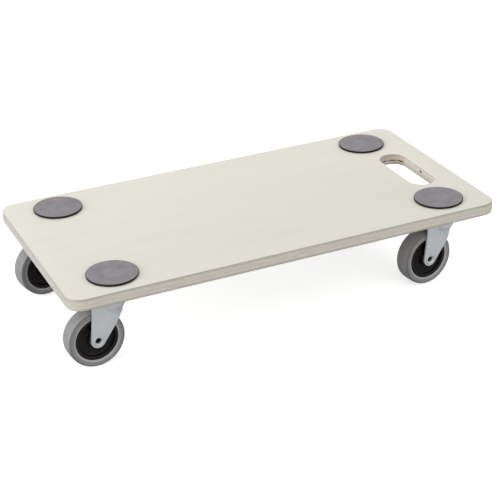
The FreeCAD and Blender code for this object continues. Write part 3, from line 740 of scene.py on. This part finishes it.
def zincPlate(name, setup, bore=None):
    # bluish zinc on pressed steel: cloudy passivation and drawing streaks, with painted shade deep in a
    # bore
    material = bpy.data.materials.new(name)
    material.use_nodes = True
    nodes = material.node_tree.nodes
    links = material.node_tree.links
    nodes.clear()
    shader = nodes.new("ShaderNodeBsdfPrincipled")
    shader.label = "zinc on steel"
    shader.location = (600, 0)
    output = nodes.new("ShaderNodeOutputMaterial")
    output.label = "surface"
    output.location = (900, 0)
    links.new(shader.outputs["BSDF"], output.inputs["Surface"])
    colourFrame = nodes.new("NodeFrame")
    colourFrame.label = "passivated zinc"
    coords = nodes.new("ShaderNodeTexCoord")
    coords.label = "metres on the piece"
    cloud = nodes.new("ShaderNodeTexNoise")
    cloud.label = "cloudy passivation"
    cloud.inputs["Scale"].default_value = 60.0
    cloud.inputs["Detail"].default_value = 5.0
    cloud.inputs["Roughness"].default_value = 0.6
    tone = nodes.new("ShaderNodeMix")
    tone.label = "bright and dull zinc"
    tone.data_type = "RGBA"
    tone.inputs[6].default_value = setup["dull"]
    tone.inputs[7].default_value = setup["bright"]
    cloudTone = nodes.new("ShaderNodeMapRange")
    cloudTone.label = "soft patches"
    cloudTone.inputs["From Min"].default_value = 0.3
    cloudTone.inputs["From Max"].default_value = 0.7
    for step, node in enumerate((coords, cloud, cloudTone, tone)):
        node.parent = colourFrame
        node.location = (-1100 + 220 * step, 200)
    links.new(coords.outputs["Object"], cloud.inputs["Vector"])
    links.new(cloud.outputs["Fac"], cloudTone.inputs["Value"])
    links.new(cloudTone.outputs["Result"], tone.inputs["Factor"])
    links.new(tone.outputs[2], shader.inputs["Base Color"])

    # painted shade: the zinc turns near-black deep inside the axle bore, where shade falls
    if bore:
        boreFrame = nodes.new("NodeFrame")
        boreFrame.label = "painted shade in the bore"
        away = nodes.new("ShaderNodeVectorMath")
        away.label = "from the axle's middle"
        away.operation = "SUBTRACT"
        away.inputs[1].default_value = bore["middle"]
        around = nodes.new("ShaderNodeVectorMath")
        around.label = "square to the axle"
        around.operation = "CROSS_PRODUCT"
        around.inputs[1].default_value = bore["axis"]
        distance = nodes.new("ShaderNodeVectorMath")
        distance.label = "distance from its axis"
        distance.operation = "LENGTH"
        inside = nodes.new("ShaderNodeMapRange")
        inside.label = "inside the bore"
        inside.inputs["From Min"].default_value = bore["unshadedRadius"]
        inside.inputs["From Max"].default_value = bore["shadedRadius"]
        along = nodes.new("ShaderNodeVectorMath")
        along.label = "place along the axle"
        along.operation = "DOT_PRODUCT"
        along.inputs[1].default_value = bore["axis"]
        depth = nodes.new("ShaderNodeMath")
        depth.label = "the same from both ends"
        depth.operation = "ABSOLUTE"
        deep = nodes.new("ShaderNodeMapRange")
        deep.label = "painted shade begins past the mouth"
        deep.inputs["From Min"].default_value = bore["brightEnd"]
        deep.inputs["From Max"].default_value = bore["darkFrom"]
        both = nodes.new("ShaderNodeMath")
        both.label = "deep inside the bore"
        both.operation = "MULTIPLY"
        shadedBore = nodes.new("ShaderNodeMix")
        shadedBore.label = "zinc with painted shade"
        shadedBore.data_type = "RGBA"
        shadedBore.inputs[7].default_value = bore["boreShade"]
        for step, node in enumerate((away, around, distance, inside, along, depth, deep, both, shadedBore)):
            node.parent = boreFrame
            node.location = (-900 + 200 * (step % 5), 700 - 220 * (step // 5))
        links.new(coords.outputs["Object"], away.inputs[0])
        links.new(away.outputs["Vector"], around.inputs[0])
        links.new(around.outputs["Vector"], distance.inputs[0])
        links.new(distance.outputs["Value"], inside.inputs["Value"])
        links.new(away.outputs["Vector"], along.inputs[0])
        links.new(along.outputs["Value"], depth.inputs[0])
        links.new(depth.outputs["Value"], deep.inputs["Value"])
        links.new(inside.outputs["Result"], both.inputs[0])
        links.new(deep.outputs["Result"], both.inputs[1])
        links.new(both.outputs["Value"], shadedBore.inputs["Factor"])
        links.new(tone.outputs[2], shadedBore.inputs[6])
        links.new(shadedBore.outputs[2], shader.inputs["Base Color"])

    skinFrame = nodes.new("NodeFrame")
    skinFrame.label = "drawn and handled skin"
    stretch = nodes.new("ShaderNodeMapping")
    stretch.label = "streaks run up and down"
    stretch.inputs["Scale"].default_value = (900.0, 900.0, 40.0)
    streaks = nodes.new("ShaderNodeTexNoise")
    streaks.label = "drawing streaks"
    streaks.inputs["Scale"].default_value = 1.0
    streaks.inputs["Detail"].default_value = 3.0
    join = nodes.new("ShaderNodeMath")
    join.label = "streaks over cloud"
    join.operation = "MULTIPLY_ADD"
    join.inputs[1].default_value = setup["streak"]
    rough = nodes.new("ShaderNodeMapRange")
    rough.label = "satin to dull"
    rough.inputs["From Max"].default_value = 1.0 + setup["streak"]
    rough.inputs["To Min"].default_value = setup["roughness"] - 0.10
    rough.inputs["To Max"].default_value = setup["roughness"] + 0.14
    rounded = nodes.new("ShaderNodeBevel")
    rounded.label = "edges tumbled round"
    rounded.samples = 6
    rounded.inputs["Radius"].default_value = 0.35 * millimetre
    bump = nodes.new("ShaderNodeBump")
    bump.label = "fine streak relief"
    bump.inputs["Strength"].default_value = 0.06
    bump.inputs["Distance"].default_value = 0.0001
    for step, node in enumerate((stretch, streaks, join, rough, rounded, bump)):
        node.parent = skinFrame
        node.location = (-800 + 220 * step, -250)
    links.new(coords.outputs["Object"], stretch.inputs["Vector"])
    links.new(stretch.outputs["Vector"], streaks.inputs["Vector"])
    links.new(streaks.outputs["Fac"], join.inputs[0])
    links.new(cloud.outputs["Fac"], join.inputs[2])
    links.new(join.outputs["Value"], rough.inputs["Value"])
    links.new(rough.outputs["Result"], shader.inputs["Roughness"])
    links.new(streaks.outputs["Fac"], bump.inputs["Height"])
    links.new(rounded.outputs["Normal"], bump.inputs["Normal"])
    links.new(bump.outputs["Normal"], shader.inputs["Normal"])
    shader.inputs["Metallic"].default_value = setup["metallic"]
    return material


print("material recipes ready")


# mesh helpers

def pieceFromMesh(name, bm, material, sharpAngle):
    # a finished piece: normals outwards, smooth apart from its real corners
    bmesh.ops.remove_doubles(bm, verts=bm.verts, dist=1e-7)
    bmesh.ops.recalc_face_normals(bm, faces=bm.faces)
    mesh = bpy.data.meshes.new(name)
    bm.to_mesh(mesh)
    bm.free()
    mesh.materials.append(material)
    for polygon in mesh.polygons:
        polygon.use_smooth = True
    mesh.set_sharp_from_angle(angle=math.radians(sharpAngle))
    piece = bpy.data.objects.new(name, mesh)
    bpy.context.scene.collection.objects.link(piece)
    return piece


def joinRings(bm, first, second, slot=0):
    # a band of faces between two closed rings
    count = len(first)
    for index in range(count):
        after = (index + 1) % count
        face = bm.faces.new((first[index], first[after], second[after], second[index]))
        face.material_index = slot


def arcPoints(middle, radius, fromAngle, toAngle, steps):
    # points of an arc in a section, from one angle to the other, in degrees
    points = []
    for step in range(steps + 1):
        angle = math.radians(fromAngle + (toAngle - fromAngle) * step / steps)
        points.append((middle[0] + radius * math.cos(angle), middle[1] + radius * math.sin(angle)))
    return points


def lathe(bm, section, steps, place):
    # turn a closed section of (radius, along) about an axis; place maps to the frame
    # the UV map keeps radius and turn in decimetres, for rings and streaks in materials
    reach = bm.loops.layers.uv.new("turned")
    rings = []
    for step in range(steps):
        angle = 2 * math.pi * step / steps
        ring = []
        for radius, along in section:
            ring.append(bm.verts.new(place(radius * math.cos(angle), along, radius * math.sin(angle))))
        rings.append(ring)
    count = len(section)
    for step in range(steps):
        ring, following = rings[step], rings[(step + 1) % steps]
        for index in range(count):
            after = (index + 1) % count
            if section[index][0] == section[after][0] == 0:
                continue  # both points lie on the axis
            face = bm.faces.new((ring[index], ring[after], following[after], following[index]))
            places = ((index, step), (after, step), (after, step + 1), (index, step + 1))
            for loop, (spot, turn) in zip(face.loops, places):
                loop[reach].uv = (section[spot][0] * 10, 2 * math.pi * turn / steps)


# the board

deck = {
    "cornerRadius": 20 * millimetre,
    "edgeRound": 1.5 * millimetre,
    "holeMiddle": 245 * millimetre,
    "holeLength": 112 * millimetre,
    "holeWidth": 38 * millimetre,
    "cornerSteps": 20,
    "holeSteps": 36,
    "edgeSteps": 6,
    "glueGroove": 0.05 * millimetre,  # how deep it is
    "glueGrooveHalf": 0.1 * millimetre,  # half of its height
    "gapHeight": 104.5 * millimetre,
    "gapHalf": 0.95 * millimetre,
    "gapClosed": 0.1,  # share of that half which a whole stretch keeps
    "gapRagged": 0.22,
    "gapClear": 1.3,  # the torn lips stay this many halves from the plain rings
    "gapTaper": 13,  # degrees over which a tear closes
    "gapDepth": 3.0 * millimetre,
    # from and to, in degrees round the far end of the hand hole, and how open
    "gapStretches": ((8, 46, 1.0), (46, 86, 0.72), (84, 138, 0.78)),
}


def boardOutline(low, high, inset, setup):
    # the rounded rectangle, anticlockwise, moved in from the board's box
    radius = setup["cornerRadius"] - inset
    points = []
    corners = ((high.x, high.y, 0), (low.x, high.y, 90), (low.x, low.y, 180), (high.x, low.y, 270))
    for x, y, start in corners:
        middle = (x - math.copysign(setup["cornerRadius"], x), y - math.copysign(setup["cornerRadius"], y))
        points += arcPoints(middle, radius, start, start + 90, setup["cornerSteps"])
    return points


def holeOutline(inset, setup):
    # the hand hole, anticlockwise; a positive inset makes it wider
    radius = setup["holeWidth"] / 2 + inset
    reach = (setup["holeLength"] - setup["holeWidth"]) / 2
    middle = setup["holeMiddle"]
    return (arcPoints((middle, reach), radius, 0, 180, setup["holeSteps"])
            + arcPoints((middle, -reach), radius, 180, 360, setup["holeSteps"]))


def gapWeight(angle, setup):
    # 1 where a ply has torn out, tapering to nothing at the ends of each stretch
    weight = 0.0
    for start, end, height in setup["gapStretches"]:
        nearest = max(0.0, min(angle - start, end - angle)) / setup["gapTaper"]
        weight = max(weight, height * min(1.0, nearest))
    return weight


def gapRing(setup, depth, side):
    # one ring of the torn ply round the hand hole: side is 1 at the upper lip, -1 at the lower
    flush = holeOutline(0, setup)
    deep = holeOutline(depth, setup)
    points = []
    for index, (x, y) in enumerate(flush):
        angle = 180 * index / setup["holeSteps"]
        weight = gapWeight(angle, setup) if index <= setup["holeSteps"] else 0.0
        ragged = 1 + setup["gapRagged"] * math.sin(index * 1.9 + side * 2)
        closed = setup["gapClosed"]
        reach = setup["gapHalf"] * (closed + (1 - closed) * weight * ragged)
        back = min(1.0, weight * 2)
        points.append((x + (deep[index][0] - x) * back, y + (deep[index][1] - y) * back,
                       setup["gapHeight"] + side * reach))
    return points


def holeRings(low, high, setup, plies):
    # rings of the hand hole from top to bottom, with the ply gap at its height
    rings = []
    for inset, z in edgeSection(low, high, setup, plies):
        rings.append([(x, y, z) for x, y in holeOutline(inset, setup)])
    middle = setup["gapHeight"]
    clear = setup["gapHalf"] * setup["gapClear"]
    depth = setup["gapDepth"]
    gap = [gapRing(setup, back, side)
           for back, side in ((0, 1), (depth, 0.7), (depth, -0.7), (0, -1))]
    above = [ring for ring in rings if ring[0][2] > middle + clear]
    below = [ring for ring in rings if ring[0][2] < middle - clear]
    return above + gap + below


def edgeSection(low, high, setup, plies):
    # (inset, height) from the top face down to the bottom face
    curve = setup["edgeRound"]
    half = setup["glueGrooveHalf"]
    points = arcPoints((curve, high.z - curve), curve, 90, 180, setup["edgeSteps"])
    total = sum(plies)
    reach = 0.0
    for ply in plies[:-1]:
        reach = reach + ply
        glue = high.z - (high.z - low.z) * reach / total
        if high.z - curve > glue + 2 * half and low.z + curve < glue - 2 * half:
            points += [(0, glue + half), (setup["glueGroove"], glue), (0, glue - half)]
    return points + arcPoints((curve, low.z + curve), curve, 180, 270, setup["edgeSteps"])


def makeBoard(setup, wood):
    low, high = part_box("deck_board")
    plies = wood["plies"]
    # the gap's veneer and glue colours are that painted shade too
    torn = dict(wood, veneerPale=plyGapShade["shade"], veneerWarm=plyGapShade["shade"],
                veneerStreak=plyGapShade["shade"], glueLine=plyGapShade["shade"])
    birch = birchPlywood("birchPlywood", wood, outerEdge, low, high)
    birchInHole = birchPlywood("birchInHandHole", wood, holeEdge, low, high)
    birchGapShade = birchPlywood("birchPlyGapShade", torn, plyGapShade, low, high)
    bm = bmesh.new()
    section = edgeSection(low, high, setup, plies)
    rings = [[bm.verts.new((x, y, z)) for x, y in boardOutline(low, high, inset, setup)]
             for inset, z in section]
    for upper, lower in zip(rings, rings[1:]):
        joinRings(bm, upper, lower)
    rings = [[bm.verts.new(point) for point in ring] for ring in holeRings(low, high, setup, plies)]
    for upper, lower in zip(rings, rings[1:]):
        joinRings(bm, upper, lower, slot=1)
    # faces in the torn ply gap get the painted shade material
    farEnd = (setup["holeLength"] - setup["holeWidth"]) / 2
    for face in bm.faces:
        centre = face.calc_center_median()
        angle = math.degrees(math.atan2(centre.y - farEnd, centre.x - setup["holeMiddle"]))
        weight = gapWeight(angle, setup)
        reach = setup["gapHalf"] * (setup["gapClosed"] + weight)
        if face.material_index and weight > 0 and abs(centre.z - setup["gapHeight"]) < reach:
            face.material_index = 2
    bmesh.ops.remove_doubles(bm, verts=bm.verts, dist=1e-7)
    for height in (high.z, low.z):
        rim = [edge for edge in bm.edges
               if edge.is_boundary and all(abs(vert.co.z - height) < 1e-6 for vert in edge.verts)]
        bmesh.ops.triangle_fill(bm, use_beauty=True, use_dissolve=False, edges=rim)
    board = pieceFromMesh("plywoodBoard", bm, birch, 50)
    board.data.materials.append(birchInHole)
    board.data.materials.append(birchGapShade)
    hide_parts("deck_board")
    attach(board, "board")


makeBoard(deck, plywood)
print("board made")


# grip pads

padRubber = {
    # face: dusty grey with a painted sheen on top; flank: painted near-black shade
    "face": (0.232, 0.214, 0.230, 1),
    "flank": (0.003, 0.0025, 0.003, 1),
    # radius in millimetres and brightness, from the middle outwards: faint mould rings, then a painted
    # highlight just inside the rounded edge and painted shade on the edge
    "rings": ((0, 0.98), (9, 1.02), (17, 0.96), (25, 1.03), (29.0, 0.95), (30.6, 1.10), (31.4, 0.85),
              (32.2, 0.30)),
    "speckle": 0.17,
    "roughness": 0.66,
    "relief": 0.25,
}
gripPad = {
    "edgeRound": 0.7 * millimetre,
    "flankLean": 0.35 * millimetre,
    "footRound": 0.3 * millimetre,
    "edgeSteps": 6,
    "steps": 128,  # round the pad
}


def makeGripPad(corner, setup, rubber):
    node = f"grip_pad_{corner}"
    low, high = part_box(node)
    radius = (high.x - low.x) / 2
    middle = (low + high) / 2
    curve = setup["edgeRound"]
    top = high.z - low.z
    section = [(0, top), (radius * 0.5, top)]
    section += arcPoints((radius - curve, top - curve), curve, 90, 0, setup["edgeSteps"])
    section += [(radius - setup["flankLean"], setup["footRound"]),
                (radius - setup["flankLean"] * 2, 0), (0, 0)]
    bm = bmesh.new()
    lathe(bm, section, setup["steps"],
          lambda x, along, y: (middle.x + x, middle.y + y, low.z + along))
    pad = pieceFromMesh(f"gripPad_{corner}", bm, rubber, 45)
    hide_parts(node)
    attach(pad, "board")


dustAndSheenRubber = mouldedRubber("gripPadRubber", padRubber)
for corner in casterCorners:
    makeGripPad(corner, gripPad, dustAndSheenRubber)
print("grip pads made")


# wheels

tyreRubber = {
    "face": (0.245, 0.240, 0.240, 1),
    "flank": (0.245, 0.240, 0.240, 1),
    # radius in millimetres and brightness, from the rim outwards: a painted highlight next to the rim,
    # painted shade on the shoulder and a painted highlight along the tread
    "rings": ((28.2, 1.5), (28.8, 1.85), (30.2, 1.70), (31.2, 1.15), (32.6, 1.02), (33.2, 1.12),
              (34.4, 0.92), (35.6, 0.74), (36.6, 0.60), (36.95, 0.84), (37.15, 1.50), (37.45, 1.30),
              (37.7, 1.26)),
    "speckle": 0.10,
    "roughness": 0.50,
    "relief": 0.18,
}
rimPlastic = {
    "black": (0.0045, 0.0038, 0.0038, 1),
    "brown": (0.0099, 0.00684, 0.00646, 1),
    "roughness": 0.42,
}
wheelSteps = 160  # round the tyre and the rim


def wheelJoint(corner):
    return next(joint for joint in frame["joints"] if joint["name"] == f"wheel_spin_{corner}")


def wheelPlacer(corner):
    # a wheel's own axes in the frame: across its face, along its axle, up
    spin = wheelJoint(corner)
    middle = Vector(spin["pos_m"])
    axle = Vector(spin["axis"]).normalized()
    ahead = axle.cross(Vector((0, 0, 1)))
    return lambda x, along, up: middle + ahead * x + axle * along + Vector((0, 0, up))


def tyreSection():
    # half of the tyre's section in millimetres, from the tread's middle outwards
    tread = [(37.5, 0.0), (37.5, 0.18), (37.4, 0.34), (37.38, 2.4), (37.3, 4.8), (37.14, 7.0), (36.98, 8.2)]
    shoulder = arcPoints((34.2, 8.65), 2.75, 14, 86, 8)
    wall = [(33.6, 11.42), (33.0, 11.36), (32.75, 11.16), (32.3, 11.1), (31.9, 11.22),
            (30.6, 10.96), (29.7, 10.72), (29.35, 10.66), (29.1, 10.5), (28.95, 10.2),
            (28.3, 9.95), (28.2, 9.8)]
    bead = [(28.2, 3.0), (30.5, 3.0)]
    half = tread + shoulder + wall + bead
    other = [(radius, -along) for radius, along in reversed(half) if along > 0]
    return [(radius * millimetre, along * millimetre) for radius, along in half + other]


def rimSection():
    # half of the plastic wheel's section, from its bore outwards
    half = [(6.55, 11.9), (6.8, 12.2), (10.6, 12.2)]
    half += arcPoints((10.6, 11.0), 1.2, 80, 0, 4)
    half += [(11.8, 6.4)]
    half += arcPoints((13.3, 6.2), 1.5, 190, 270, 4)
    half += [(17.0, 4.7), (17.25, 5.05), (18.35, 5.05), (18.6, 4.7), (21.6, 4.8)]
    half += arcPoints((22.0, 6.4), 1.6, -80, -8, 4)
    half += [(23.9, 9.0), (24.3, 9.6), (24.9, 9.9), (27.6, 9.9), (28.0, 9.75), (28.2, 9.4),
             (28.2, 3.0), (30.5, 3.0)]
    other = [(radius, -along) for radius, along in reversed(half)]
    return [(radius * millimetre, along * millimetre) for radius, along in half + other]


def makeWheel(corner, rubber, plastic):
    place = wheelPlacer(corner)
    bm = bmesh.new()
    lathe(bm, tyreSection(), wheelSteps, place)
    tyre = pieceFromMesh(f"tyre_{corner}_rubber", bm, rubber, 40)
    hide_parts(f"tyre_{corner}")
    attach(tyre, f"wheel_{corner}")
    bm = bmesh.new()
    lathe(bm, rimSection(), wheelSteps, place)
    rim = pieceFromMesh(f"wheelRim_{corner}", bm, plastic, 40)
    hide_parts(f"wheel_rim_{corner}")
    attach(rim, f"wheel_{corner}")


greyRubber = mouldedRubber("greyTyreRubber", tyreRubber)
wheelPlastic = blackPlastic("blackWheelPlastic", rimPlastic)
for corner in casterCorners:
    makeWheel(corner, greyRubber, wheelPlastic)
print("wheels made")


# pressed steel, screws, rivets and balls keep their CAD shape

forkZinc = {"bright": (0.64, 0.667, 0.695, 1), "dull": (0.575, 0.602, 0.63, 1),
            "roughness": 0.46, "streak": 0.35, "metallic": 0.30}
plateZinc = {"bright": (0.62, 0.65, 0.67, 1), "dull": (0.52, 0.55, 0.57, 1),
             "roughness": 0.40, "streak": 0.20, "metallic": 0.8}
screwZinc = {"bright": (0.64, 0.65, 0.66, 1), "dull": (0.50, 0.52, 0.53, 1),
             "roughness": 0.30, "streak": 0.25, "metallic": 1.0}
rivetZinc = {"bright": (0.66, 0.68, 0.70, 1), "dull": (0.56, 0.58, 0.60, 1),
             "roughness": 0.40, "streak": 0.25, "metallic": 0.45}
ballSteel = {"bright": (0.55, 0.53, 0.48, 1), "dull": (0.30, 0.28, 0.24, 1),
             "roughness": 0.22, "streak": 0.10, "metallic": 1.0}
# near-black painted shade deep inside each axle rivet's bore; the mouth stays bright
axleBoreShade = {
    "unshadedRadius": 4.6 * millimetre,  # from the axis; the mouth stays bright out from here
    "shadedRadius": 4.0 * millimetre,
    "brightEnd": 12.6 * millimetre,  # from the wheel's middle
    "darkFrom": 10.0 * millimetre,
    "boreShade": (0.010, 0.010, 0.012, 1),
}


def finishMetal(corner, finishes):
    spin = wheelJoint(corner)
    bore = dict(axleBoreShade, middle=spin["pos_m"], axis=spin["axis"])
    rivet = zincPlate(f"rivetZinc_{corner}", rivetZinc, bore)
    for start, material in dict(finishes, axle_rivet=rivet).items():
        node = frame["nodes"][f"{start}_{corner}"]
        node.data.materials.clear()
        node.data.materials.append(material)


plainRivet = zincPlate("rivetZinc", rivetZinc)
greasedBall = zincPlate("greasedBallSteel", ballSteel)
metalFinish = {
    "fork": zincPlate("forkZinc", forkZinc),
    "plate": zincPlate("plateZinc", plateZinc),
    "plate_screws": zincPlate("screwZinc", screwZinc),
    "king_pin": plainRivet,
    "axle_sleeve": plainRivet,
    "upper_balls": greasedBall,
    "lower_balls": greasedBall,
}
for corner in casterCorners:
    finishMetal(corner, metalFinish)
print("metal finished")
